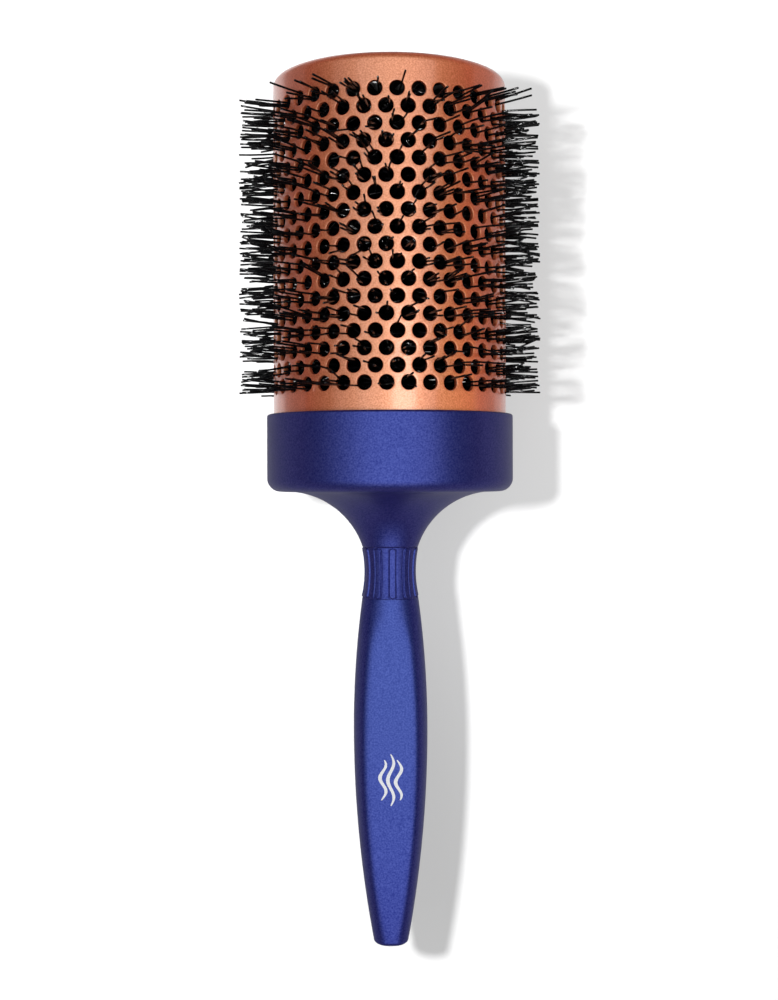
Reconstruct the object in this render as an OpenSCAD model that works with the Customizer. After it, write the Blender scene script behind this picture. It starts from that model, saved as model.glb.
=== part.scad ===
// Round barrel brush, laid level on its bristles.
// Each sub-part is modelled upright along Z, from the handle's tip at z = 0
// to the barrel's rim, and lay() turns it down along Y: barrel towards +Y,
// the handle's flat front towards +Z, lowest bristle tips at z = 0.

/* [Barrel] */
// Outer diameter of the barrel
barrel_d = 63.5; // [56:0.5:70]
// Length of barrel that shows past the collar
barrel_shown = 91; // [90:1:110]
// Thickness of the barrel's sheet
barrel_wall = 1.2; // [0.8:0.1:1.6]
// Radius of the rounded shoulder at the rim
rim_r = 2; // [1:0.5:3]
// Diameter of the round holes
hole_d = 3.9; // [3:0.1:4.5]
// Holes round the barrel in one row
holes_round = 35; // [20:1:36]
// Rows of holes, every second one staggered
hole_rows = 18; // [6:1:18]
// Distance between the rows
row_pitch = 4.38; // [4.2:0.01:4.8]
// Distance from the rim to the first row
first_row = 9.5; // [9:0.5:12]

/* [Bristles] */
// Diameter over the bristle tips
bristle_d = 82.6; // [74:0.2:90]
// Diameter of a tuft at its root
tuft_root_d = 0.5; // [0.4:0.05:0.6]
// Diameter of a tuft at its tip
tuft_tip_d = 1.5; // [1:0.1:2]

/* [Collar] */
// Outer diameter of the collar
collar_d = 67.2; // [66.8:0.2:76]
// Height of the collar
collar_h = 21; // [20:1:30]
// Radius of the collar's lower edge
collar_edge_r = 3.6; // [2:0.2:5]
// Height of the trumpet-shaped neck under the collar
flare_h = 15.2; // [14:0.2:17]
// Radius of the neck's hollow curve
flare_r = 22.1; // [20:0.1:23]

/* [Handle] */
// Height of the collar's underside over the handle's tip
handle_reach = 123.8; // [118:0.2:134]
// Width of the handle at its widest
grip_w = 20.2; // [19:0.2:24]
// Thickness of the handle between its flattened faces
grip_t = 15; // [14.4:0.2:18]
// Height of the widest place over the handle's tip
belly_z = 59; // [50:1:65]
// Raised ribs round the grip ring
rib_count = 11; // [6:1:12]

/* [Core] */
// Diameter of each twisted wire
wire_d = 1.8; // [1.2:0.1:1.8]
// Length of one turn of the twisted wires
wire_lead = 12; // [10:1:20]

/* [Hidden] */
$fn = 96;
hole_fn = 24;
tuft_fn = 16;
wire_fn = 8;
turn_slices = 16;
// How far a cut runs past the surface that it goes through
past = 1;

// Heights along the upright brush
mouth_z = handle_reach + collar_h;
rim_z = mouth_z + barrel_shown;
first_z = rim_z - first_row;

// Barrel and what closes it
barrel_r = barrel_d / 2;
bore_r = barrel_r - barrel_wall;
barrel_sunk = 13;
barrel_foot_z = mouth_z - barrel_sunk;
lip_w = 2.2;
lip_r = barrel_r - rim_r - lip_w;
hole_turn = 360 / holes_round;
hole_lead = 3.6;
cap_h = 5.2;
cap_dish = 1.4;
cap_plate_t = 2;
cap_top_z = rim_z - barrel_wall;
cap_foot_z = cap_top_z - cap_h;
cap_plate_z = cap_top_z - cap_dish - cap_plate_t;
cap_skirt_t = 1.6;
cap_vents = 12;
vent_x = 18;
vent_w = 3;
vent_l = 15.5;
boss_wall = 2.6;

// Core, from the base plug's tower to the end cap's boss
ferrule_r = 3.2;
wire_gap = 0.02;
core_slack = 0.15;
core_r = wire_d + core_slack;
plug_t = 3;
tower_h = 8;
ferrule_lift = 1;
ferrule_held = 4;
plug_top_z = barrel_foot_z + plug_t;
tower_top_z = plug_top_z + tower_h;
base_ferrule_z = plug_top_z + ferrule_lift;
tip_ferrule_z = cap_foot_z + ferrule_held;
ferrule_end_t = 1;
core_foot_z = base_ferrule_z + ferrule_end_t;
core_top_z = tip_ferrule_z - ferrule_end_t;
bundle_foot_z = first_z - (hole_rows - 0.5) * row_pitch;
bundle_top_z = first_z + row_pitch / 2;

// Bristles
tip_r = bristle_d / 2;
tuft_sunk = 0.3;
tuft_foot_r = ferrule_r - tuft_sunk;
down_gaps = [for (row = [1, 2], i = [0:holes_round - 1]) abs(from_down(row, i))];
down_gap = min(down_gaps);
axis_h = tip_r * cos(down_gap) + tuft_tip_d / 2 * sin(down_gap);

// Collar and neck
collar_r = collar_d / 2;
seat_w = 1;
seat_r = bore_r - seat_w;
mouth_gap = 0.2;
mouth_r = barrel_r + mouth_gap;
mouth_edge_r = 0.7;
collar_floor = 2.2;
neck_foot_z = handle_reach - flare_h;
neck_r = 7.6;
curve_z = handle_reach - flare_r;
curve_x = neck_r + sqrt(pow(flare_r, 2) - pow(neck_foot_z - curve_z, 2));
stem_r = 4;
stem_wall = 1;
stem_rise = 2;
stem_top_z = handle_reach + collar_floor + stem_rise;
stem_foot_z = 66;
stem_boss_t = 2.2;
stem_boss_r = stem_r + stem_boss_t;
screw_count = 3;
screw_lead = 30;
screw_x = 20;
screw_r = 1.5;
screw_l = 5.5;
screw_head_r = 2.8;
screw_head_h = 1.6;
post_r = 3.4;
post_sunk = 1;
slot_w = 0.8;

// Handle and grip ring
ring_foot_z = 94.7;
waist_r = 6.85;
waist_z = 101.9;
waist_curve_r = 30;
rib_w = 1.5;
rib_h = 0.35;
rib_gap = 0.5;
rib_lead = 4.7;
upper_curve_r = 265;
lower_curve_r = 316;
face_curve_r = 1000;
face_z = 75;
tip_edge_r = 1.3;
grip_steps = 24;
grip_heights = [for (n = [0:grip_steps]) step_z(n, tip_edge_r, ring_foot_z)];
face_heights = [for (n = [0:grip_steps]) step_z(n, -past, ring_foot_z + past)];
socket_r = 5.2;
socket_foot_z = 62;
handle_bore_z = 38;
tip_bore_r = 3.6;
tip_bore_z = 15;

ROWS = [for (row = [1:hole_rows]) str("bristle_row_", row < 10 ? "0" : "", row)];

// Turn of hole i of a row from the front, to the right: odd rows start
// hole_lead from the front, and even rows half a pitch further
function hole_angle(row, i) =
    hole_lead + (row % 2 == 1 ? 0 : hole_turn / 2) + i * hole_turn;

// How far hole i of a row is from straight down, between -180 and 180
function from_down(row, i) = hole_angle(row, i) - 180;

// Half size of a long bulging side at height z, at its most, top, at height top_z
function bulge_at(z, top, top_z, curve_r) =
    top - curve_r + sqrt(pow(curve_r, 2) - pow(z - top_z, 2));

// Half width and half thickness of the handle at height z
function half_w_at(z) =
    bulge_at(z, grip_w / 2, belly_z, z > belly_z ? upper_curve_r : lower_curve_r);
function half_t_at(z) = bulge_at(z, grip_t / 2, face_z, face_curve_r);

// Even steps of height, n from 0 to grip_steps
function step_z(n, low, high) = low + (high - low) * n / grip_steps;

// Lays the upright brush down on its bristles, its middle over the origin
module lay() {
    translate([0, -rim_z / 2, axis_h])
        rotate([-90, 0, 0])
            children();
}

// Turns children to the place of hole i in a row, with X pointing outward
module at_hole(row, i) {
    translate([0, 0, first_z - (row - 1) * row_pitch])
        rotate([0, 0, hole_angle(row, i) - 90])
            children();
}

// Tube about Z from one height to another
module tube(outer, inner, foot, top) {
    translate([0, 0, foot])
        difference() {
            cylinder(r = outer, h = top - foot);
            translate([0, 0, -past])
                cylinder(r = inner, h = top - foot + 2 * past);
        }
}

// Slot with round ends along X, centred on x
module slot_outline(length, width) {
    reach = (length - width) / 2;
    square([2 * reach, width], center = true);
    for (side = [-1, 1])
        translate([side * reach, 0])
            circle(d = width, $fn = hole_fn);
}

// Section of the barrel: a straight wall that turns in over a rounded rim
module barrel_section() {
    turn_x = barrel_r - rim_r;
    turn_z = rim_z - rim_r;
    translate([bore_r, barrel_foot_z])
        square([barrel_wall, turn_z - barrel_foot_z]);
    translate([lip_r, rim_z - barrel_wall])
        square([turn_x - lip_r, barrel_wall]);
    difference() {
        intersection() {
            translate([turn_x, turn_z])
                circle(r = rim_r);
            translate([turn_x, turn_z])
                square(rim_r);
        }
        translate([turn_x, turn_z])
            circle(r = rim_r - barrel_wall);
    }
}

module barrel() {
    color("#c77a55")
        lay()
            difference() {
                rotate_extrude()
                    barrel_section();
                for (row = [1:hole_rows], i = [0:holes_round - 1])
                    at_hole(row, i)
                        translate([bore_r - 2 * past, 0, 0])
                            rotate([0, 90, 0])
                                cylinder(d = hole_d, h = barrel_wall + 4 * past, $fn = hole_fn);
            }
}

// Vented disc that closes the far end and centres the core in its boss
module end_cap() {
    color("#1b1b1e")
        lay()
            difference() {
                union() {
                    tube(bore_r, bore_r - cap_skirt_t, cap_foot_z, cap_top_z);
                    translate([0, 0, cap_plate_z])
                        cylinder(r = bore_r - cap_skirt_t / 2, h = cap_plate_t);
                    translate([0, 0, cap_foot_z])
                        cylinder(r = ferrule_r + boss_wall, h = cap_top_z - cap_foot_z);
                }
                translate([0, 0, cap_foot_z - past])
                    cylinder(r = ferrule_r, h = ferrule_held + past);
                for (i = [0:cap_vents - 1])
                    rotate([0, 0, (i + 0.5) * 360 / cap_vents])
                        translate([vent_x, 0, cap_plate_z - past])
                            linear_extrude(cap_plate_t + 2 * past)
                                slot_outline(vent_l, vent_w);
            }
}

// One of the two wires that are twisted together along the axis
module core_wire(start) {
    length = core_top_z - core_foot_z;
    color("#9a9ca0")
        lay()
            translate([0, 0, core_foot_z])
                linear_extrude(
                    length,
                    twist = -360 * length / wire_lead,
                    slices = ceil(turn_slices * length / wire_lead),
                    $fn = wire_fn
                )
                    rotate(start)
                        translate([wire_d / 2 + wire_gap, 0])
                            circle(d = wire_d);
}

// Sleeve over one end of the core, closed at the end away from the bristles
module ferrule(foot, top, open_z) {
    color("#b4b6ba")
        lay()
            difference() {
                translate([0, 0, foot])
                    cylinder(r = ferrule_r, h = top - foot);
                translate([0, 0, open_z])
                    cylinder(r = core_r, h = top - foot);
            }
}

module tip_ferrule() {
    foot = bundle_top_z;
    ferrule(foot, tip_ferrule_z, core_top_z - (tip_ferrule_z - foot));
}

module base_ferrule() {
    ferrule(base_ferrule_z, bundle_foot_z, core_foot_z);
}

// One row of bristles: a tuft through each hole, gripped by the core
module bristle_row(row) {
    mid_z = first_z - (row - 1) * row_pitch;
    color("#101013")
        lay()
            union() {
                tube(ferrule_r, core_r, mid_z - row_pitch / 2, mid_z + row_pitch / 2);
                for (i = [0:holes_round - 1])
                    at_hole(row, i)
                        translate([tuft_foot_r, 0, 0])
                            rotate([0, 90, 0])
                                cylinder(
                                    d1 = tuft_root_d,
                                    d2 = tuft_tip_d,
                                    h = tip_r - tuft_foot_r,
                                    $fn = tuft_fn
                                );
            }
}

// Places children at each of the screws that hold the base plug
module at_screws() {
    for (i = [0:screw_count - 1])
        rotate([0, 0, screw_lead + i * 360 / screw_count])
            translate([screw_x, 0, 0])
                children();
}

// Disc that closes the barrel's foot, with a tower that grips the core
module base_plug() {
    color("#2a2a2e")
        lay()
            difference() {
                union() {
                    translate([0, 0, barrel_foot_z])
                        cylinder(r = bore_r, h = plug_t);
                    translate([0, 0, barrel_foot_z])
                        cylinder(r = ferrule_r + boss_wall, h = tower_top_z - barrel_foot_z);
                }
                translate([0, 0, base_ferrule_z])
                    cylinder(r = ferrule_r, h = tower_top_z);
                at_screws()
                    translate([0, 0, barrel_foot_z - past])
                        cylinder(r = screw_r, h = plug_t + 2 * past);
            }
}

// Screws with round heads and crossed slots
module base_screws() {
    color("#b4b6ba")
        lay()
            at_screws()
                difference() {
                    union() {
                        translate([0, 0, plug_top_z - plug_t - screw_l])
                            cylinder(r = screw_r, h = plug_t + screw_l);
                        translate([0, 0, plug_top_z])
                            cylinder(r = screw_head_r, h = screw_head_h);
                    }
                    for (turn = [0, 90])
                        translate([0, 0, plug_top_z + screw_head_h])
                            rotate([0, 0, turn])
                                cube([2 * screw_r, slot_w, screw_head_h], center = true);
                }
}

// Outline of the collar: straight side, rounded lower edge, flared neck
module collar_outline() {
    edge_x = collar_r - collar_edge_r;
    translate([0, handle_reach + collar_edge_r])
        square([collar_r, collar_h - collar_edge_r - mouth_edge_r]);
    translate([0, handle_reach])
        square([edge_x, collar_edge_r]);
    translate([0, mouth_z - mouth_edge_r])
        square([collar_r - mouth_edge_r, mouth_edge_r]);
    translate([edge_x, handle_reach + collar_edge_r])
        circle(r = collar_edge_r);
    translate([collar_r - mouth_edge_r, mouth_z - mouth_edge_r])
        circle(r = mouth_edge_r);
    difference() {
        translate([0, neck_foot_z])
            square([curve_x, flare_h]);
        translate([curve_x, curve_z])
            circle(r = flare_r);
    }
}

// Hollow of the collar: barrel's socket, seat, and a funnel over the neck
module collar_hollow() {
    translate([0, barrel_foot_z])
        square([mouth_r, collar_h]);
    difference() {
        translate([stem_boss_r, neck_foot_z])
            square([seat_r - stem_boss_r, barrel_foot_z - neck_foot_z + past]);
        translate([curve_x, curve_z])
            circle(r = flare_r + collar_floor);
        translate([curve_x, neck_foot_z])
            square([seat_r, handle_reach + collar_floor - neck_foot_z]);
    }
}

module collar_cup() {
    color("#3d4699")
        lay()
            difference() {
                union() {
                    rotate_extrude()
                        difference() {
                            collar_outline();
                            collar_hollow();
                        }
                    at_screws()
                        translate([0, 0, handle_reach + post_sunk])
                            cylinder(r = post_r, h = barrel_foot_z - handle_reach - post_sunk);
                }
                translate([0, 0, neck_foot_z - past])
                    cylinder(r = stem_r, h = collar_h + flare_h);
                at_screws()
                    translate([0, 0, barrel_foot_z - screw_l])
                        cylinder(r = screw_r, h = screw_l + past);
            }
}

// Hollow-sided sleeve section, standing out by proud
module waist_section(proud) {
    height = neck_foot_z - ring_foot_z;
    difference() {
        translate([stem_r, ring_foot_z])
            square([neck_r + 2 * past - stem_r, height]);
        translate([waist_r + proud + waist_curve_r, waist_z])
            circle(r = waist_curve_r);
    }
}

// Waisted sleeve round the stem, with raised ribs that have round ends
module grip_ring() {
    height = neck_foot_z - ring_foot_z;
    color("#38418f")
        lay() {
            rotate_extrude()
                waist_section(0);
            intersection() {
                rotate_extrude()
                    waist_section(rib_h);
                for (i = [0:rib_count - 1])
                    rotate([0, 0, rib_lead - 90 + i * 360 / rib_count])
                        translate([stem_r + past, 0, ring_foot_z + height / 2])
                            rotate([0, 90, 0])
                                linear_extrude(neck_r)
                                    slot_outline(height - rib_gap, rib_w);
            }
        }
}

// Tube that joins the collar to the handle
module stem_tube() {
    color("#b4b6ba")
        lay()
            tube(stem_r, stem_r - stem_wall, stem_foot_z, stem_top_z);
}

// Insert that holds the stem in the handle's bore, closed at its foot
module stem_socket() {
    color("#2a2a2e")
        lay()
            difference() {
                translate([0, 0, socket_foot_z])
                    cylinder(r = socket_r, h = ring_foot_z - socket_foot_z);
                translate([0, 0, stem_foot_z])
                    cylinder(r = stem_r, h = ring_foot_z);
            }
}

// Half outline of the handle: two long curves and a rounded tip
module grip_outline() {
    tip_x = half_w_at(tip_edge_r) - tip_edge_r;
    polygon([
        [0, tip_edge_r],
        for (z = grip_heights) [half_w_at(z), z],
        [0, ring_foot_z]
    ]);
    square([tip_x, tip_edge_r]);
    translate([tip_x, tip_edge_r])
        circle(r = tip_edge_r);
}

// Side view of the two flattened faces, long shallow curves
module grip_faces() {
    front = [for (z = face_heights) [half_t_at(z), z]];
    back = [for (n = [grip_steps:-1:0]) [-half_t_at(face_heights[n]), face_heights[n]]];
    polygon(concat(front, back));
}

module handle_grip() {
    color("#424ca6")
        lay()
            difference() {
                intersection() {
                    rotate_extrude()
                        grip_outline();
                    rotate([90, 0, 90])
                        linear_extrude(2 * grip_w, center = true)
                            grip_faces();
                }
                translate([0, 0, handle_bore_z])
                    cylinder(r = socket_r, h = ring_foot_z);
                translate([0, 0, tip_bore_z])
                    cylinder(r = tip_bore_r, h = ring_foot_z);
            }
}

barrel();
end_cap();
core_wire(0);  // core_wire_a
core_wire(180);  // core_wire_b
tip_ferrule();
base_ferrule();
for (row = [1:hole_rows])
    bristle_row(row);
base_plug();
base_screws();
collar_cup();
grip_ring();
stem_tube();
stem_socket();
handle_grip();
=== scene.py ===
"""Round barrel brush on a pale floor, seen straight from above.

Lengths are metres in the row frame: the brush's axis lies along Y, the barrel
towards +Y, and the flat front of the handle faces +Z. Around the axis, turn is
the angle from the front (+Z) towards the right (+X), in radians.
"""

import math
import random

import bmesh
import bpy
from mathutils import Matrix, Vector


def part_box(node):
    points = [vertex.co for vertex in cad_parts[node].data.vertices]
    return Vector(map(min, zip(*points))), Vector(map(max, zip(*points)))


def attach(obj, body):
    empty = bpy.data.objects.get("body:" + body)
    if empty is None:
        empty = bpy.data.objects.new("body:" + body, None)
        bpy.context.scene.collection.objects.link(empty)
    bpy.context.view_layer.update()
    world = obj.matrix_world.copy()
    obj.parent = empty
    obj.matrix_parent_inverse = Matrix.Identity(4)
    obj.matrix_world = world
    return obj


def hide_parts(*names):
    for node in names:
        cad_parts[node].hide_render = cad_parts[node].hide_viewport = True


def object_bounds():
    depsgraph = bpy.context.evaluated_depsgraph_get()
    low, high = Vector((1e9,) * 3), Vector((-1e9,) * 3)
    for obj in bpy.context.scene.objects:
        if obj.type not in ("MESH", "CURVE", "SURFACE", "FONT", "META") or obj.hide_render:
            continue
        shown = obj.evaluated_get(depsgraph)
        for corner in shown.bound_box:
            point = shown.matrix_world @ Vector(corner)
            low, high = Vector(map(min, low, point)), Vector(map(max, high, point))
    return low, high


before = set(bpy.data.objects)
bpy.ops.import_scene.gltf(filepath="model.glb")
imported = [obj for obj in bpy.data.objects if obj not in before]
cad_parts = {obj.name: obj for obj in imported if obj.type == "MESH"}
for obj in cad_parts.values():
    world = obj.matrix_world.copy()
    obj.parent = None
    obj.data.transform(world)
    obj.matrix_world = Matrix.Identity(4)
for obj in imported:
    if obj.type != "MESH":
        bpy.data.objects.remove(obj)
cad_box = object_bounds()

MM = 0.001
TAU = 2 * math.pi
DEG = math.pi / 180

# ---------------------------------------------------------------- places
barrel_lo, barrel_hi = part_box("barrel")
collar_lo, collar_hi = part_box("collar_cup")
ring_lo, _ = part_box("grip_ring")
handle_lo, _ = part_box("handle_grip")

AXIS_Z = (barrel_lo.z + barrel_hi.z) / 2
BARREL_R = 31.75 * MM
BARREL_WALL = 1.2 * MM
RIM_Y = barrel_hi.y
FOOT_Y = barrel_lo.y
MOUTH_Y = collar_hi.y
NECK_Y = collar_lo.y
RING_Y = ring_lo.y
TIP_Y = handle_lo.y

ROWS = 18
HOLES = 35
ROW_PITCH = 4.38 * MM
HOLE_TURN = TAU / HOLES
HOLE_LEAD = 3.6 * DEG
FIRST_ROW_Y = RIM_Y - 9.5 * MM
HOLE_R = 1.98 * MM
TIP_MARGIN = 0.2 * MM
TIP_R = (cad_box[1].x - cad_box[0].x) / 2 - TIP_MARGIN


def around(radius, turn, y):
    """The point at a radius from the axis, a turn from the front and a place along Y."""
    return (radius * math.sin(turn), y, AXIS_Z + radius * math.cos(turn))


def row_y(row):
    """Place along Y of a row of holes, the first row being 0."""
    return FIRST_ROW_Y - row * ROW_PITCH


def hole_turn(row, i):
    """Turn of hole i in a row: every second row stands half a pitch further."""
    return HOLE_LEAD + (0.5 * HOLE_TURN if row % 2 else 0) + i * HOLE_TURN


# ---------------------------------------------------------------- mesh helpers
def make_piece(name, verts, faces, material, replaces=(), smooth=True):
    """A mesh object that rides on the brush."""
    mesh = bpy.data.meshes.new(name)
    mesh.from_pydata(verts, [], faces)
    mesh.validate()
    mesh.update()
    if smooth:
        mesh.shade_smooth()
    mesh.materials.append(material)
    piece = bpy.data.objects.new(name, mesh)
    bpy.context.scene.collection.objects.link(piece)
    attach(piece, "root")
    if replaces:
        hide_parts(*replaces)
    return piece


def recalc_normals(piece):
    """Turns every face of a closed piece to look outward."""
    bm = bmesh.new()
    bm.from_mesh(piece.data)
    bmesh.ops.recalc_face_normals(bm, faces=bm.faces)
    bm.to_mesh(piece.data)
    bm.free()


def lathe(section, steps, shape=None):
    """Vertices and quads of a closed section turned round the axis.

    section is a list of (radius, y). shape(radius, y, turn) may change the radius.
    """
    verts = []
    faces = []
    count = len(section)
    for s in range(steps):
        turn = TAU * s / steps
        for radius, y in section:
            r = shape(radius, y, turn) if shape else radius
            verts.append(around(r, turn, y))
    for s in range(steps):
        a = s * count
        b = (s + 1) % steps * count
        for k in range(count):
            n = (k + 1) % count
            faces.append((a + k, a + n, b + n, b + k))
    return verts, faces


def arc(cx, cy, radius, start, end, steps):
    """Points of a circular arc in a section, angles in degrees from +radius to +y."""
    out = []
    for n in range(steps + 1):
        a = (start + (end - start) * n / steps) * DEG
        out.append((cx + radius * math.cos(a), cy + radius * math.sin(a)))
    return out


def line(start, end, steps):
    """Points from start to end in even steps, without the last."""
    out = []
    for n in range(steps):
        t = n / steps
        out.append((start[0] + (end[0] - start[0]) * t, start[1] + (end[1] - start[1]) * t))
    return out


# ---------------------------------------------------------------- material helpers
# Layer weight at which a surface counts as turned away and takes its full painted shade colour.
PAINTED_SHADE_REACH = 0.3


def new_material(name, **sockets):
    """A Principled material with constants set on its own sockets."""
    material = bpy.data.materials.new(name)
    material.use_nodes = True
    nodes = material.node_tree.nodes
    nodes.clear()
    shader = nodes.new("ShaderNodeBsdfPrincipled")
    output = nodes.new("ShaderNodeOutputMaterial")
    material.node_tree.links.new(shader.outputs["BSDF"], output.inputs["Surface"])
    for key, value in sockets.items():
        shader.inputs[key.replace("_", " ")].default_value = value
    return material, shader


def add_node(material, kind, **values):
    """A node with its inputs set by name, spaces written as underscores."""
    node = material.node_tree.nodes.new(kind)
    for key, value in values.items():
        node.inputs[key.replace("_", " ")].default_value = value
    return node


def link(material, source, target):
    """Joins an output to an input."""
    material.node_tree.links.new(source, target)


def grain(material, scale, detail=2.0, rough=0.5, stretch=None):
    """Noise in object space, with scale in cycles per metre."""
    coords = material.node_tree.nodes.new("ShaderNodeTexCoord")
    noise = add_node(material, "ShaderNodeTexNoise", Scale=scale, Detail=detail, Roughness=rough)
    place = coords.outputs["Object"]
    if stretch:
        mapping = add_node(material, "ShaderNodeMapping", Scale=stretch)
        link(material, place, mapping.inputs["Vector"])
        place = mapping.outputs["Vector"]
    link(material, place, noise.inputs["Vector"])
    return noise


def ramp(material, source, stops):
    """A colour ramp with (place, colour) stops."""
    node = material.node_tree.nodes.new("ShaderNodeValToRGB")
    elements = node.color_ramp.elements
    while len(elements) < len(stops):
        elements.new(0.5)
    for element, (place, colour) in zip(elements, stops):
        element.position = place
        element.color = (*colour, 1)
    link(material, source, node.inputs["Fac"])
    return node


def speckled(material, source, tone, spread):
    """A tone whose three channels vary by their own shares of it, from deep to bright."""
    deep = tuple(c * (1 - k) for c, k in zip(tone, spread))
    bright = tuple(c * (1 + k) for c, k in zip(tone, spread))
    return ramp(material, source, [(0.3, deep), (0.7, bright)]).outputs["Color"]


def to_range(material, source, low, high):
    """A factor from 0 to 1 spread over low to high."""
    node = add_node(material, "ShaderNodeMapRange", To_Min=low, To_Max=high)
    link(material, source, node.inputs["Value"])
    return node.outputs["Result"]


def along_brush(material, start, end, low, high):
    """A value that goes from low to high between two places along Y."""
    coords = material.node_tree.nodes.new("ShaderNodeTexCoord")
    place = material.node_tree.nodes.new("ShaderNodeSeparateXYZ")
    link(material, coords.outputs["Object"], place.inputs["Vector"])
    reach = add_node(
        material, "ShaderNodeMapRange", From_Min=start, From_Max=end, To_Min=low, To_Max=high
    )
    link(material, place.outputs["Y"], reach.inputs["Value"])
    return reach.outputs["Result"]


def mix_colours(material, factor, first, second):
    """A colour between two; the second may be a plain colour."""
    mix = material.node_tree.nodes.new("ShaderNodeMix")
    mix.data_type = "RGBA"
    link(material, factor, mix.inputs["Factor"])
    link(material, first, mix.inputs["A"])
    if isinstance(second, tuple):
        mix.inputs["B"].default_value = (*second, 1)
    else:
        link(material, second, mix.inputs["B"])
    return mix.outputs["Result"]


def painted_shade_by_facing(material, facing, turned):
    """Painted shade: mixes a lit colour into a darker shaded one by how far the surface turns away from the
    eye.
    """
    weight = add_node(material, "ShaderNodeLayerWeight", Blend=0.5)
    reach = add_node(material, "ShaderNodeMapRange", From_Max=PAINTED_SHADE_REACH)
    link(material, weight.outputs["Facing"], reach.inputs["Value"])
    return mix_colours(material, reach.outputs["Result"], facing, turned)


def bump(material, shader, source, distance, strength=1.0, normal=None):
    """Fine relief, with its depth in metres."""
    node = add_node(material, "ShaderNodeBump", Distance=distance, Strength=strength)
    link(material, source, node.inputs["Height"])
    if normal:
        link(material, normal, node.inputs["Normal"])
    link(material, node.outputs["Normal"], shader.inputs["Normal"])
    return node.outputs["Normal"]


# ---------------------------------------------------------------- materials
# Linear colours: a painted lit tone where the barrel faces the eye and a darker painted shade tone where it
# turns away; and the share of each channel by which the flakes vary.
PAINTED_LIT_COPPER = (0.60, 0.224, 0.100)
PAINTED_SHADED_COPPER = (0.58, 0.120, 0.050)
COPPER_SPREAD = (0.21, 0.33, 0.50)


def copper_coat():
    """Satin copper-coloured coat on the aluminium barrel, with a fine metallic grain and painted shade
    where it turns away from the eye.
    """
    material, shader = new_material(
        "copper_coat", Metallic=0.45, Coat_Weight=1.0, Coat_Roughness=0.17, Coat_IOR=1.5
    )
    fine = grain(material, 2600, detail=3)
    broad = grain(material, 90, detail=4)
    facing = speckled(material, fine.outputs["Fac"], PAINTED_LIT_COPPER, COPPER_SPREAD)
    turned = speckled(material, fine.outputs["Fac"], PAINTED_SHADED_COPPER, COPPER_SPREAD)
    # painted shade: the copper is painted darker and redder where the barrel turns away, lighter and
    # yellower where it faces the eye
    tone = painted_shade_by_facing(material, facing, turned)
    link(material, tone, shader.inputs["Base Color"])
    rough = to_range(material, broad.outputs["Fac"], 0.36, 0.46)
    link(material, rough, shader.inputs["Roughness"])
    bump(material, shader, fine.outputs["Fac"], 0.012 * MM, 0.5)
    return material


# What a blue is multiplied by for painted shade where it turns away, the handle's paler blue for a painted
# sheen, and the flakes.
BLUE_PAINTED_SHADE = (1.03, 0.64, 0.74)
PAINTED_SHEEN_BLUE = (0.11, 0.19, 0.44)
BLUE_SPREAD = (0.55, 0.46, 0.22)
HANDLE_SPREAD = (0.72, 0.585, 0.24)


def blue_paint(name, tone, spread, painted_sheen_blue=None):
    """Satin metallic paint: small flakes of slightly different blues, with painted shade that darkens it
    where it turns away.

    Given a paler blue, a painted sheen makes the paint a little paler from the handle's middle up.
    """
    material, shader = new_material(
        name, Metallic=0.65, Specular_IOR_Level=0.35, Coat_Weight=0.12, Coat_Roughness=0.3, Coat_IOR=1.45
    )
    flakes = grain(material, 2200, detail=2)
    broad = grain(material, 70, detail=4)
    front = speckled(material, flakes.outputs["Fac"], tone, spread)
    # painted shade: a darker copy of the blue for where the surface turns away from the eye
    shade = tuple(c * k for c, k in zip(tone, BLUE_PAINTED_SHADE))
    turned = speckled(material, flakes.outputs["Fac"], shade, spread)
    if painted_sheen_blue:
        # painted sheen: a paler blue mixed in, rising from the tip to its full share at the handle's belly
        # and kept above it
        painted_sheen_share = along_brush(material, TIP_Y, TIP_Y + 60 * MM, 0, 0.17)
        front = mix_colours(material, painted_sheen_share, front, painted_sheen_blue)
    colour = painted_shade_by_facing(material, front, turned)
    link(material, colour, shader.inputs["Base Color"])
    rough = to_range(material, broad.outputs["Fac"], 0.37, 0.43)
    link(material, rough, shader.inputs["Roughness"])
    bump(material, shader, flakes.outputs["Fac"], 0.01 * MM, 0.5)
    return material


def nylon():
    """Glossy black filament, a little browner and duller in streaks."""
    material, shader = new_material("bristle_nylon", Specular_IOR_Level=0.08)
    streaks = grain(material, 900, detail=2)
    tone = ramp(
        material, streaks.outputs["Fac"], [(0.3, (0.0002, 0.0002, 0.0003)), (0.7, (0.0006, 0.0006, 0.0007))]
    )
    link(material, tone.outputs["Color"], shader.inputs["Base Color"])
    rough = to_range(material, streaks.outputs["Fac"], 0.10, 0.22)
    link(material, rough, shader.inputs["Roughness"])
    return material


def moulded_plastic(name, dark, light, low, high):
    """Moulded plastic with a fine sparked texture."""
    material, shader = new_material(name, Specular_IOR_Level=0.5)
    pits = grain(material, 1800, detail=3)
    patches = grain(material, 120, detail=3)
    tone = ramp(material, patches.outputs["Fac"], [(0.35, dark), (0.65, light)])
    link(material, tone.outputs["Color"], shader.inputs["Base Color"])
    rough = to_range(material, pits.outputs["Fac"], low, high)
    link(material, rough, shader.inputs["Roughness"])
    bump(material, shader, pits.outputs["Fac"], 0.02 * MM, 0.6)
    return material


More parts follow.
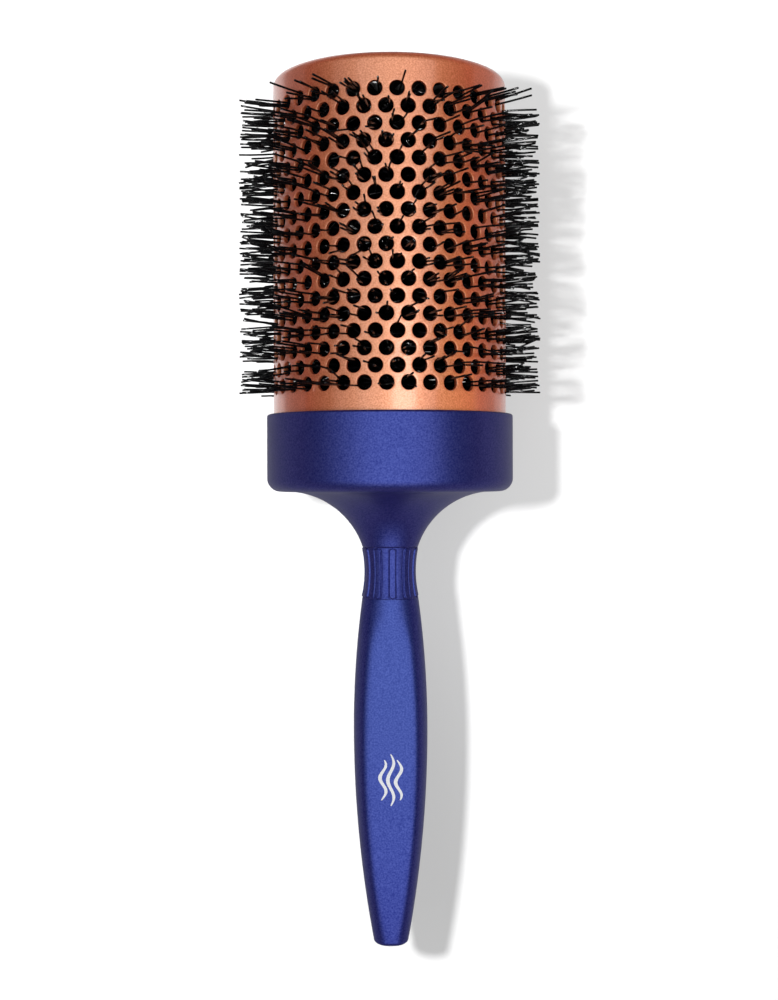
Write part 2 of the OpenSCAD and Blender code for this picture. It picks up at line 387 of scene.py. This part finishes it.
def drawn_metal(name, dark, light, stretch):
    """Metal with draw lines along one direction."""
    material, shader = new_material(name, Metallic=1.0)
    lines = grain(material, 60, detail=5, stretch=stretch)
    tone = ramp(material, lines.outputs["Fac"], [(0.3, dark), (0.7, light)])
    link(material, tone.outputs["Color"], shader.inputs["Base Color"])
    rough = to_range(material, lines.outputs["Fac"], 0.22, 0.42)
    link(material, rough, shader.inputs["Roughness"])
    bump(material, shader, lines.outputs["Fac"], 0.01 * MM, 0.4)
    return material


def mark_ink():
    """White printed ink, slightly uneven where it meets the grain of the paint."""
    material, shader = new_material("mark_ink", Specular_IOR_Level=0.4)
    cover = grain(material, 2400, detail=2)
    tone = ramp(
        material, cover.outputs["Fac"], [(0.3, (0.86, 0.90, 0.97)), (0.6, (0.97, 0.98, 1.0))]
    )
    link(material, tone.outputs["Color"], shader.inputs["Base Color"])
    rough = to_range(material, cover.outputs["Fac"], 0.4, 0.55)
    link(material, rough, shader.inputs["Roughness"])
    return material


COPPER = copper_coat()
COLLAR_PAINT = blue_paint("collar_paint", (0.0375, 0.0585, 0.305), BLUE_SPREAD)
RING_PAINT = blue_paint("ring_paint", (0.0385, 0.0595, 0.308), BLUE_SPREAD)
HANDLE_PAINT = blue_paint("handle_paint", (0.0305, 0.0525, 0.322), HANDLE_SPREAD, PAINTED_SHEEN_BLUE)
NYLON = nylon()
BLACK_PLASTIC = moulded_plastic("black_plastic", (0.012, 0.012, 0.014), (0.020, 0.020, 0.022), 0.35, 0.5)
PLUG_PLASTIC = moulded_plastic("insulator_plastic", (0.03, 0.03, 0.033), (0.045, 0.045, 0.05), 0.5, 0.65)
CORE_STEEL = drawn_metal("core_steel", (0.42, 0.43, 0.45), (0.60, 0.61, 0.63), (40, 2, 40))
BRIGHT_STEEL = drawn_metal("bright_steel", (0.55, 0.56, 0.58), (0.70, 0.71, 0.73), (40, 4, 40))
STEM_ALLOY = drawn_metal("stem_alloy", (0.66, 0.67, 0.69), (0.80, 0.81, 0.83), (40, 4, 40))
INK = mark_ink()


# ---------------------------------------------------------------- barrel
def build_barrel():
    """Perforated tube on a grid whose cells run round every hole.

    One hole takes a cell of eight columns and four quarter rows, so that the
    staggered rows share the corners on the line between them.
    """
    cols = 8
    total = HOLES * cols
    edge_r = 0.14 * MM
    inner_edge = 0.1 * MM
    verts = []
    faces = []
    shared = {}

    def turn_of(col):
        return HOLE_LEAD + col * HOLE_TURN / cols

    def y_of(quarter):
        return FIRST_ROW_Y + quarter * ROW_PITCH / 4

    def grid_point(col, quarter, radius):
        key = (col % total, quarter, radius)
        if key not in shared:
            shared[key] = len(verts)
            verts.append(around(radius, turn_of(col), y_of(quarter)))
        return shared[key]

    cell = [(u, -2) for u in range(-4, 5)]
    cell += [(4, v) for v in (-1, 0, 1)]
    cell += [(u, 2) for u in range(4, -5, -1)]
    cell += [(-4, v) for v in (1, 0, -1)]
    cell_start = 210
    count = len(cell)
    inner_r = BARREL_R - BARREL_WALL

    def hole_ring(turn, y, offset, radius, blend=0.0):
        """A ring of points round a hole; blend moves it out towards the cell's edge."""
        ring = []
        for k in range(count):
            a = (cell_start + 360 * k / count) * DEG
            across = offset * math.cos(a)
            along = offset * math.sin(a)
            if blend:
                u, v = cell[k]
                across += (u * HOLE_TURN / cols * BARREL_R - across) * blend
                along += (v * ROW_PITCH / 4 - along) * blend
            ring.append(len(verts))
            verts.append(around(radius, turn + across / BARREL_R, y + along))
        return ring

    for row in range(ROWS):
        for i in range(HOLES):
            col = i * cols + (cols // 2 if row % 2 else 0)
            turn = turn_of(col)
            y = row_y(row)
            outer = [grid_point(col + u, v - 4 * row, BARREL_R) for u, v in cell]
            inner = [grid_point(col + u, v - 4 * row, inner_r) for u, v in cell]
            rings = [outer]
            rings.append(hole_ring(turn, y, HOLE_R + edge_r, BARREL_R, 0.5))
            for a in (0, 30, 60, 90):
                offset = HOLE_R + edge_r * (1 - math.sin(a * DEG))
                depth = edge_r * (1 - math.cos(a * DEG))
                rings.append(hole_ring(turn, y, offset, BARREL_R - depth))
            rings.append(hole_ring(turn, y, HOLE_R, inner_r + inner_edge))
            rings.append(hole_ring(turn, y, HOLE_R + inner_edge, inner_r))
            rings.append(inner)
            for a, b in zip(rings, rings[1:]):
                for k in range(count):
                    n = (k + 1) % count
                    faces.append((a[k], a[n], b[n], b[k]))

    def stitch(a, b):
        """Quads between two rings that go right round the barrel."""
        for col in range(total):
            n = (col + 1) % total
            faces.append((a[col], a[n], b[n], b[col]))

    def band(section, first, last):
        """Plain rings of quads from the shared ring first to the shared ring last."""
        previous = first
        for radius, y in section:
            ring = []
            for col in range(total):
                ring.append(len(verts))
                verts.append(around(radius, turn_of(col), y))
            stitch(previous, ring)
            previous = ring
        stitch(previous, last)

    top_q = 2
    foot_q = -4 * (ROWS - 1) - 2
    rim_r = 2 * MM
    lip_x = BARREL_R - rim_r - 2.2 * MM
    turn_in = rim_r - BARREL_WALL
    shoulder_y = RIM_Y - rim_r
    top_section = line((BARREL_R, y_of(top_q) + 0.6 * MM), (BARREL_R, shoulder_y), 6)
    top_section += arc(BARREL_R - rim_r, shoulder_y, rim_r, 0, 90, 10)
    top_section += arc(lip_x + 0.3 * MM, RIM_Y - 0.3 * MM, 0.3 * MM, 90, 180, 3)
    top_section += arc(lip_x + 0.3 * MM, RIM_Y - BARREL_WALL + 0.3 * MM, 0.3 * MM, 180, 270, 3)
    top_section += arc(BARREL_R - rim_r, shoulder_y, turn_in, 90, 0, 5)
    top_section += [(inner_r, y_of(top_q) + 1.5 * MM)]
    foot_section = line((BARREL_R, y_of(foot_q) - 0.6 * MM), (BARREL_R, FOOT_Y + 0.3 * MM), 8)
    foot_section += arc(BARREL_R - 0.3 * MM, FOOT_Y + 0.3 * MM, 0.3 * MM, 0, -90, 3)
    foot_section += arc(inner_r + 0.3 * MM, FOOT_Y + 0.3 * MM, 0.3 * MM, -90, -180, 3)
    foot_section += [(inner_r, y_of(foot_q) - 1.5 * MM)]
    for section, quarter in ((top_section, top_q), (foot_section, foot_q)):
        first = [grid_point(col, quarter, BARREL_R) for col in range(total)]
        last = [grid_point(col, quarter, inner_r) for col in range(total)]
        band(section, first, last)

    piece = make_piece("barrel_shell", verts, faces, COPPER, ["barrel"])
    recalc_normals(piece)
    return piece


barrel_shell = build_barrel()


# ---------------------------------------------------------------- bristles
FILAMENT_R = 0.275 * MM
# The core that the roots sit on, and the lead of its two spirals.
CORE_R = 2.0 * MM
CORE_LEAD = 14.6 * MM
# The most that a root is turned off its hole, and the lean that one hole's filaments share.
ROOT_SPREAD = 1.2
HOLE_LEAN = 0.05
# How much single filaments lean: most of them a little, strays more.
KICK = 0.035
STRAY_KICK = 0.13
STRAIGHT_SHARE = 0.9
# Uneven trimming of the tips, the share that is cut shorter, and by how much.
TRIM_SPREAD = 0.55 * MM
SHORT_SHARE = 0.14
SHORTER_BY = (0.5 * MM, 3.5 * MM)
# How far a filament's middle is bent aside.
BEND = 0.25 * MM
# Filaments out of one hole: the mean away from the spirals, what a spiral adds, and the most.
MEAN_IN_HOLE = 1.65
MORE_ON_SPIRAL = 1.45
SPIRAL_REACH = 2.0 * MM
MOST_IN_HOLE = 8
CAUGHT_PER_HOLE = 2
FIRST_SEED = 100


def add_filament(verts, faces, points, radius):
    """A six-sided filament along points, with a chamfered cut at its tip."""
    sides = 6
    rings = []
    last = len(points) - 1
    for n, point in enumerate(points):
        ahead = points[min(n + 1, last)]
        behind = points[max(n - 1, 0)]
        along = (ahead - behind).normalized()
        side = along.cross(Vector((0, 1, 0)))
        if side.length < 0.2:
            side = along.cross(Vector((1, 0, 0)))
        side.normalize()
        up = along.cross(side)
        rings.append([])
        for k in range(sides):
            a = TAU * k / sides
            rings[-1].append(len(verts))
            verts.append(point + (side * math.cos(a) + up * math.sin(a)) * radius)
    tip = []
    for index in rings[-1]:
        tip.append(len(verts))
        verts.append(points[last] + along * radius * 0.35 + (verts[index] - points[last]) * 0.6)
    rings.append(tip)
    for a, b in zip(rings, rings[1:]):
        for k in range(sides):
            n = (k + 1) % sides
            faces.append((a[k], a[n], b[n], b[k]))
    faces.append(tuple(reversed(rings[0])))
    faces.append(tuple(rings[-1]))


def curve_points(a, b, c, steps):
    """Points of a quadratic curve from a to c, pulled towards b."""
    out = []
    for n in range(steps + 1):
        t = n / steps
        out.append(a * (1 - t) ** 2 + b * (2 * t * (1 - t)) + c * t * t)
    return out


def spiral_gap(turn, y):
    """Distance along Y from a place to the nearest of the core's two spirals."""
    half = CORE_LEAD / 2
    return (y - CORE_LEAD * turn / TAU + half / 2) % half - half / 2


def through_filament(rng, row, i, lean):
    """A filament from the core out through a hole, or None if it misses the hole."""
    turn = hole_turn(row, i)
    y = row_y(row)
    gap = spiral_gap(turn, y)
    root_turn = turn + rng.uniform(-ROOT_SPREAD, ROOT_SPREAD)
    root = Vector(around(CORE_R, root_turn, y - 0.6 * gap + rng.gauss(0, 0.6) * MM))
    reach = (HOLE_R - FILAMENT_R) * math.sqrt(rng.random()) * 0.92
    a = rng.uniform(0, TAU)
    across = reach * math.cos(a) / BARREL_R
    place = Vector(around(BARREL_R - 0.4 * MM, turn + across, y + reach * math.sin(a)))
    heading = (place - root).normalized()
    kick = KICK if rng.random() < STRAIGHT_SHARE else STRAY_KICK
    heading = heading + lean + Vector([rng.gauss(0, kick) for _ in range(3)])
    heading.normalize()
    centre = Vector((0, 0, AXIS_Z))
    out = TIP_R - abs(rng.gauss(0, TRIM_SPREAD))
    if rng.random() < SHORT_SHARE:
        out -= rng.uniform(*SHORTER_BY)
    # The length at which the heading reaches the trimmed radius.
    flat = Vector((heading.x, 0, heading.z))
    start = Vector((place.x, 0, place.z)) - centre
    b = flat.dot(start)
    c = start.length_squared - out * out
    length = (-b + math.sqrt(b * b - flat.length_squared * c)) / flat.length_squared
    tip = place + heading * length
    bend = Vector([rng.gauss(0, BEND) for _ in range(3)])
    inner = curve_points(root, (root + place) / 2 + bend, place, 3)
    outer = curve_points(place, place + heading * length * 0.5 - bend * 0.5, tip, 3)
    if any(math.hypot(p.x, p.z - AXIS_Z) >= TIP_R for p in outer):
        return None
    return inner + outer[1:]


def caught_filament(rng, row, i):
    """A filament that missed its hole and lies bent along the barrel's inside."""
    turn = hole_turn(row, i) + rng.uniform(-0.5, 0.5) * HOLE_TURN
    y = row_y(row) + rng.uniform(-0.5, 0.5) * ROW_PITCH
    root_turn = turn + rng.uniform(-ROOT_SPREAD, ROOT_SPREAD)
    root = Vector(around(CORE_R, root_turn, y + rng.gauss(0, 1.0) * MM))
    bend_r = rng.uniform(24, 28) * MM
    corner = Vector(around(bend_r, turn, y + rng.gauss(0, 1.0) * MM))
    side = rng.choice((-1, 1)) * rng.uniform(0.12, 0.32)
    end = Vector(around(rng.uniform(28.6, 29.9) * MM, turn + side, y + rng.gauss(0, 2.5) * MM))
    return [root, (root + corner) / 2] + curve_points(corner, corner.lerp(end, 0.5), end, 3)


def filaments_in(rng, row, i):
    """How many filaments come out of a hole: most beside one of the spirals."""
    gap = spiral_gap(hole_turn(row, i), row_y(row))
    mean = MEAN_IN_HOLE + MORE_ON_SPIRAL * math.exp(-((gap / SPIRAL_REACH) ** 2))
    return max(min(int(rng.gauss(mean, 1.0) + 0.5), MOST_IN_HOLE), 0)


def build_bristles():
    """One piece for each row of holes."""
    pieces = []
    for row in range(ROWS):
        rng = random.Random(FIRST_SEED + row)
        verts = []
        faces = []
        for i in range(HOLES):
            lean = Vector([rng.gauss(0, HOLE_LEAN) for _ in range(3)])
            for _ in range(filaments_in(rng, row, i)):
                points = through_filament(rng, row, i, lean)
                if points:
                    add_filament(verts, faces, points, FILAMENT_R)
            for _ in range(CAUGHT_PER_HOLE):
                add_filament(verts, faces, caught_filament(rng, row, i), FILAMENT_R)
        number = f"{row + 1:02d}"
        piece = make_piece(
            "filaments_" + number, verts, faces, NYLON, ["bristle_row_" + number]
        )
        pieces.append(piece)
    return pieces


filament_rows = build_bristles()


# ---------------------------------------------------------------- collar and neck
COLLAR_R = 33.6 * MM
EDGE_R = 3.6 * MM
MOUTH_EDGE = 0.7 * MM
FLARE_R = 22.1 * MM
NECK_R = 7.6 * MM
STEM_R = 4.0 * MM
COLLAR_H = 21 * MM
UNDER_Y = MOUTH_Y - COLLAR_H


def build_collar():
    """Collar, rounded lower edge and flared neck as one turned shell."""
    curve_y = UNDER_Y - FLARE_R
    drop = NECK_Y - curve_y
    curve_x = NECK_R + math.sqrt(FLARE_R**2 - drop**2)
    low = 180 - math.degrees(math.asin(drop / FLARE_R))
    mouth_r = BARREL_R + 0.2 * MM
    seat_r = BARREL_R - BARREL_WALL - 1 * MM
    section = line((STEM_R, NECK_Y), (NECK_R - 0.3 * MM, NECK_Y), 2)
    section += [(NECK_R - 0.3 * MM, NECK_Y), (NECK_R - 0.02 * MM, NECK_Y + 0.03 * MM)]
    section += arc(curve_x, curve_y, FLARE_R, low - 1.2, 90, 40)
    section += arc(COLLAR_R - EDGE_R, UNDER_Y + EDGE_R, EDGE_R, -90, 0, 14)
    section += line((COLLAR_R, UNDER_Y + EDGE_R + 0.4 * MM), (COLLAR_R, MOUTH_Y - MOUTH_EDGE), 8)
    section += arc(COLLAR_R - MOUTH_EDGE, MOUTH_Y - MOUTH_EDGE, MOUTH_EDGE, 0, 90, 6)
    section += arc(mouth_r + 0.3 * MM, MOUTH_Y - 0.3 * MM, 0.3 * MM, 90, 180, 3)
    section += [(mouth_r, FOOT_Y), (seat_r, FOOT_Y), (seat_r, UNDER_Y + 2.2 * MM)]
    section += [(STEM_R + 2.2 * MM, UNDER_Y + 2.2 * MM), (STEM_R, UNDER_Y + 2.2 * MM)]
    verts, faces = lathe(section, 192)
    piece = make_piece("collar_shell", verts, faces, COLLAR_PAINT, ["collar_cup"])
    recalc_normals(piece)
    piece.modifiers.new("corners", "WEIGHTED_NORMAL")
    return piece


collar_shell = build_collar()


# ---------------------------------------------------------------- grip ring
WAIST_R = 6.85 * MM
WAIST_Y = TIP_Y + 101.9 * MM
WAIST_CURVE = 30 * MM
RIB_COUNT = 11
RIB_TURN = TAU / RIB_COUNT
RIB_LEAD = 4.7 * DEG
RIB_W = 1.5 * MM
RIB_H = 0.24 * MM


def smooth_step(low, high, value):
    """0 below low, 1 above high, and a smooth rise between."""
    t = min(max((value - low) / (high - low), 0), 1)
    return t * t * (3 - 2 * t)


def build_grip_ring():
    """Waisted sleeve with raised, round-ended ribs and a groove round each."""
    foot, top = RING_Y, NECK_Y
    half = (top - foot) / 2 - 0.3 * MM
    mid = (top + foot) / 2

    def outer(radius, y, turn):
        if radius < STEM_R * 1.2:
            return radius
        base = WAIST_R + (y - WAIST_Y) ** 2 / (2 * WAIST_CURVE)
        base -= 0.06 * MM * (1 - smooth_step(0, 0.15 * MM, min(y - foot, top - y)))
        near = (turn - RIB_LEAD + RIB_TURN / 2) % RIB_TURN - RIB_TURN / 2
        across = near * WAIST_R
        along = max(abs(y - mid) - (half - RIB_W / 2), 0)
        edge = math.hypot(across, along) - RIB_W / 2
        rib = 1 - smooth_step(-0.08 * MM, 0.1 * MM, edge)
        groove = math.exp(-(((edge - 0.2 * MM) / (0.14 * MM)) ** 2))
        return base + RIB_H * rib - 0.2 * MM * groove

    section = [(STEM_R, foot)]
    section += line((WAIST_R, foot), (WAIST_R, top), 110)
    section += [(WAIST_R, top), (STEM_R, top)]
    verts, faces = lathe(section, 660, outer)
    piece = make_piece("ribbed_ring", verts, faces, RING_PAINT, ["grip_ring"])
    recalc_normals(piece)
    return piece


build_grip_ring()


# ---------------------------------------------------------------- handle
BELLY_Y = TIP_Y + 59 * MM
FACE_Y = TIP_Y + 75 * MM
GRIP_W = 20.2 * MM
GRIP_T = 15.0 * MM
UPPER_CURVE = 265 * MM
LOWER_CURVE = 316 * MM
FACE_CURVE = 1000 * MM
TIP_EDGE = 1.3 * MM
# How sharply a flat face meets the round side: the power of the blend.
SOFTNESS = 16
RUNOUT_Y = (TIP_Y + 81 * MM, TIP_Y + 93 * MM)


def bulge(y, most, most_y, curve):
    """Half size of a long bulging side."""
    return most - curve + math.sqrt(curve**2 - (y - most_y) ** 2)


def half_width(y):
    """Half width of the handle."""
    curve = UPPER_CURVE if y > BELLY_Y else LOWER_CURVE
    return bulge(y, GRIP_W / 2, BELLY_Y, curve)


def handle_radius(y, turn):
    """Radius of the skin: a round body with soft flats that run out below the ring."""
    wide = half_width(y)
    flat = bulge(y, GRIP_T / 2, FACE_Y, FACE_CURVE)
    facing = abs(math.cos(turn)) + 1e-6
    cut = (wide**-SOFTNESS + (flat / facing) ** -SOFTNESS) ** (-1 / SOFTNESS)
    oval = 1 / math.hypot(math.sin(turn) / wide, math.cos(turn) / (GRIP_T / 2))
    return cut + (oval - cut) * smooth_step(*RUNOUT_Y, y)


def build_handle():
    """The tapered grip, closed at its domed tip."""
    steps = 200
    verts = [around(0, 0, TIP_Y)]
    faces = []
    rings = []
    tip_y = TIP_Y + TIP_EDGE

    def add_ring(y, scale, drop=0.0):
        """A ring of the skin's outline, scaled about the axis and lowered by drop."""
        ring = []
        for s in range(steps):
            turn = TAU * s / steps
            radius = handle_radius(max(y, tip_y), turn) * scale - drop
            ring.append(len(verts))
            verts.append(around(radius, turn, y))
        rings.append(ring)

    for scale in (0.2, 0.4, 0.6):
        add_ring(TIP_Y + 0.12 * MM * scale**2, scale)
    flat_r = 1 - TIP_EDGE / handle_radius(tip_y, 0)
    for n in range(9):
        a = n / 8 * 90 * DEG
        add_ring(
            TIP_Y + 0.1 * MM + (TIP_EDGE - 0.1 * MM) * (1 - math.cos(a)),
            flat_r + (1 - flat_r) * math.sin(a),
        )
    length = RING_Y - tip_y
    body_steps = 90
    for n in range(1, body_steps + 1):
        add_ring(tip_y + length * n / body_steps - (0.25 * MM if n == body_steps else 0), 1)
    add_ring(RING_Y - 0.06 * MM, 1, 0.02 * MM)
    add_ring(RING_Y, 1, 0.08 * MM)
    socket_r = 5.2 * MM
    for y in (RING_Y, RING_Y - 20 * MM):
        ring = []
        for s in range(steps):
            ring.append(len(verts))
            verts.append(around(socket_r, TAU * s / steps, y))
        rings.append(ring)
    for a, b in zip(rings, rings[1:]):
        for s in range(steps):
            n = (s + 1) % steps
            faces.append((a[s], a[n], b[n], b[s]))
    for s in range(steps):
        faces.append((0, rings[0][(s + 1) % steps], rings[0][s]))
    faces.append(tuple(rings[-1]))
    piece = make_piece("handle_skin", verts, faces, HANDLE_PAINT, ["handle_grip"])
    recalc_normals(piece)
    return piece


build_handle()


# ---------------------------------------------------------------- printed mark
def build_mark():
    """Three wavy strands printed on the front of the handle."""
    verts = []
    faces = []
    strand_w = 0.5 * MM
    length = 14 * MM
    lift = 0.03 * MM
    mid_y = TIP_Y + 46 * MM
    steps = 60

    def skin(x, y, raised):
        """The handle's front surface above x."""
        turn = math.asin(x / (GRIP_T / 2))
        for _ in range(4):
            turn = math.asin(x / handle_radius(y, turn))
        return Vector(around(handle_radius(y, turn) + raised, turn, y))

    for strand in (-1, 0, 1):
        rows = []
        short = 0.78 if strand else 1.0
        for n in range(steps + 1):
            t = n / steps
            y = mid_y + (t - 0.5) * length * short
            x = strand * 2.1 * MM + 0.8 * MM * math.sin(TAU * 1.5 * t + strand * 0.5)
            width = strand_w * (0.25 + 0.75 * math.sin(math.pi * t) ** 0.6)
            rows.append([])
            for side, raised in ((-1, lift), (1, lift), (1, -lift), (-1, -lift)):
                rows[-1].append(len(verts))
                verts.append(skin(x + side * width, y, raised))
        for a, b in zip(rows, rows[1:]):
            for k in range(4):
                faces.append((a[k], a[(k + 1) % 4], b[(k + 1) % 4], b[k]))
        faces.append(tuple(rows[0]))
        faces.append(tuple(reversed(rows[-1])))
    piece = make_piece("strand_mark", verts, faces, INK, (), smooth=False)
    recalc_normals(piece)
    return piece


build_mark()


# ---------------------------------------------------------------- CAD nodes that stay
def finish_cad_nodes():
    """Materials for the CAD parts whose shape is kept."""
    kept = {
        "end_cap": BLACK_PLASTIC,
        "core_wire_a": CORE_STEEL,
        "core_wire_b": CORE_STEEL,
        "tip_ferrule": BRIGHT_STEEL,
        "base_ferrule": BRIGHT_STEEL,
        "base_plug": PLUG_PLASTIC,
        "base_screws": BRIGHT_STEEL,
        "stem_tube": STEM_ALLOY,
        "stem_socket": PLUG_PLASTIC,
    }
    for node, material in kept.items():
        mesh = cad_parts[node].data
        mesh.materials.clear()
        mesh.materials.append(material)


finish_cad_nodes()


# ---------------------------------------------------------------- floor, light, camera
CAMERA_X = -0.28 * MM
CAMERA_Y = RIM_Y - 107.0 * MM
CAMERA_Z = AXIS_Z + 403.9 * MM
CAMERA_TURN = -0.0025
LENS = 53.0
SENSOR_W = 36.0
SHIFT_Y = -0.0270
LAMP_PLACE = (CAMERA_X - 118 * MM, CAMERA_Y + 30 * MM, CAMERA_Z)


def flat_square(name, size, height):
    """A square centred under the brush."""
    mesh = bpy.data.meshes.new(name)
    corners = [(-size, -size, height), (size, -size, height), (size, size, height), (-size, size, height)]
    mesh.from_pydata(corners, [], [(0, 1, 2, 3)])
    square = bpy.data.objects.new(name, mesh)
    bpy.context.scene.collection.objects.link(square)
    return square


# Glow that the floor gains far from the brush, so that it meets the room without an edge.
FAR_GLOW = 0.7
FLOOR_SIZE = 4.0
ROOM_R = 3.8
ROOM_GLOW = 1.2


def floor_material(name, dark, light, painted_glow_low, painted_glow_high):
    """Matt board with very faint patches. Its glow grows far away, and towards the barrel as painted light
    that lightens the cast shadow there.
    """
    material, shader = new_material(
        name, Roughness=0.9, Specular_IOR_Level=0.1, Emission_Color=(1, 1, 1, 1)
    )
    # painted light: glow rising from the handle's tip to the collar's mouth, so the cast shadow is lighter
    # towards the barrel
    near = along_brush(material, TIP_Y, MOUTH_Y, painted_glow_low, painted_glow_high)
    coords = material.node_tree.nodes.new("ShaderNodeTexCoord")
    away = add_node(material, "ShaderNodeVectorMath")
    away.operation = "LENGTH"
    link(material, coords.outputs["Object"], away.inputs[0])
    far = add_node(material, "ShaderNodeMapRange", From_Min=0.4, From_Max=2.5, To_Max=FAR_GLOW)
    link(material, away.outputs["Value"], far.inputs["Value"])
    both = add_node(material, "ShaderNodeMath")
    both.operation = "ADD"
    link(material, near, both.inputs[0])
    link(material, far.outputs["Result"], both.inputs[1])
    link(material, both.outputs["Value"], shader.inputs["Emission Strength"])
    patches = grain(material, 6, detail=3)
    tone = ramp(material, patches.outputs["Fac"], [(0.3, (dark,) * 3), (0.7, (light,) * 3)])
    link(material, tone.outputs["Color"], shader.inputs["Base Color"])
    return material


def build_floor():
    """A white floor that shows, and a dimmer one that the brush reflects."""
    seen = flat_square("floor_seen", FLOOR_SIZE, 0)
    seen.data.materials.append(floor_material("floor_white", 0.33, 0.35, 0.28, 0.47))
    seen.visible_diffuse = False
    seen.visible_glossy = False
    bounced = flat_square("floor_bounced", FLOOR_SIZE, -0.5 * MM)
    bounced.data.materials.append(floor_material("floor_grey", 0.68, 0.72, 0.05, 0.07))
    bounced.visible_camera = False
    bounced.visible_shadow = False
    return seen


def build_backdrop():
    """A white room far round the floor, which lights nothing."""
    bm = bmesh.new()
    bmesh.ops.create_icosphere(bm, subdivisions=3, radius=ROOM_R)
    mesh = bpy.data.meshes.new("backdrop")
    bm.to_mesh(mesh)
    bm.free()
    room = bpy.data.objects.new("backdrop", mesh)
    bpy.context.scene.collection.objects.link(room)
    material = bpy.data.materials.new("backdrop_white")
    material.use_nodes = True
    nodes = material.node_tree.nodes
    nodes.clear()
    glow = nodes.new("ShaderNodeEmission")
    glow.inputs["Strength"].default_value = ROOM_GLOW
    output = nodes.new("ShaderNodeOutputMaterial")
    link(material, glow.outputs["Emission"], output.inputs["Surface"])
    mesh.materials.append(material)
    for kind in ("diffuse", "glossy", "transmission", "shadow"):
        setattr(room, "visible_" + kind, False)


def soft_box(name, place, aim, size_x, size_y, radiance):
    """A soft box at a place, facing a point, with an even radiance."""
    data = bpy.data.lights.new(name, "AREA")
    data.shape = "RECTANGLE"
    data.size = size_x
    data.size_y = size_y
    data.energy = radiance * math.pi * size_x * size_y
    box = bpy.data.objects.new(name, data)
    box.location = place
    box.rotation_euler = (Vector(aim) - Vector(place)).to_track_quat("-Z", "Y").to_euler()
    box.visible_camera = False
    bpy.context.scene.collection.objects.link(box)
    return box


def light_only(light, name, objects):
    """Makes a light fall on these objects only."""
    lit = bpy.data.collections.new(name)
    for obj in objects:
        lit.objects.link(obj)
    light.light_linking.receiver_collection = lit


def small_lamp(name, strength, objects):
    """A small lamp beside the camera, as strong at any distance, for these objects only."""
    data = bpy.data.lights.new(name, "POINT")
    data.shadow_soft_size = 15 * MM
    data.energy = 4 * math.pi
    data.use_nodes = True
    nodes = data.node_tree.nodes
    even = nodes.new("ShaderNodeLightFalloff")
    even.inputs["Strength"].default_value = strength
    data.node_tree.links.new(even.outputs["Constant"], nodes["Emission"].inputs["Strength"])
    lamp = bpy.data.objects.new(name, data)
    lamp.location = LAMP_PLACE
    bpy.context.scene.collection.objects.link(lamp)
    light_only(lamp, name + "_lit", objects)


BOX_H = 1.0
GLOW_W = 0.08
GLOW_L = 0.5
GLOW_X = 0.028 + GLOW_W / 2
SIDE_TINT = (1.0, 0.72, 0.3)
WORLD_GLOW = 0.08


def build_lights(floor, barrel, filaments, collar):
    """Soft boxes overhead and to the side, floor glow on the barrel, and two small lamps."""
    soft_box("box_main", (0.19, -0.18, BOX_H), (0.19, -0.18, 0), 1.5, 1.55, 1.5)
    soft_box("box_left", (-0.96, -0.02, BOX_H), (-0.96, -0.02, 0), 0.8, 1.7, 0.6)
    core = soft_box("box_core", (0.235, -0.15, BOX_H - 0.01), (0.235, -0.15, 0), 0.40, 0.6, 4.8)
    light_only(core, "core_lit", [barrel] + filaments)
    side = soft_box("box_side", (1.2, -0.1, 0.4), (0, 0, AXIS_Z), 0.5, 1.2, 1.5)
    side.data.color = SIDE_TINT
    light_only(side, "side_lit", [barrel])
    foot = soft_box("box_foot", (0.19, -1.4, BOX_H), (0.19, -1.4, 0), 1.5, 0.85, 0.85)
    light_only(foot, "foot_lit", [collar])
    for side_x, radiance in ((-GLOW_X, 0.75), (GLOW_X, 0.35)):
        place = (side_x, 0, 0.2 * MM)
        glow = soft_box("floor_glow", place, (side_x, 0, 1), GLOW_W, GLOW_L, radiance)
        light_only(glow, "glow_lit", [barrel])
    small_lamp("shadow_lamp", 5.4, [floor])
    small_lamp("spark_lamp", 20, filaments)
    world = bpy.data.worlds.new("studio")
    world.use_nodes = True
    background = world.node_tree.nodes["Background"]
    background.inputs["Color"].default_value = (1, 1, 1, 1)
    background.inputs["Strength"].default_value = WORLD_GLOW
    bpy.context.scene.world = world


def build_camera():
    """Straight down on the brush, its top towards the barrel's rim."""
    data = bpy.data.cameras.new("camera")
    data.lens = LENS
    data.sensor_width = SENSOR_W
    data.shift_y = SHIFT_Y
    data.clip_start = 0.01
    camera = bpy.data.objects.new("camera", data)
    camera.location = (CAMERA_X, CAMERA_Y, CAMERA_Z)
    camera.rotation_euler = (0, 0, CAMERA_TURN)
    bpy.context.scene.collection.objects.link(camera)
    bpy.context.scene.camera = camera


build_lights(build_floor(), barrel_shell, filament_rows, collar_shell)
build_backdrop()
build_camera()
bpy.context.scene.view_settings.view_transform = "Standard"
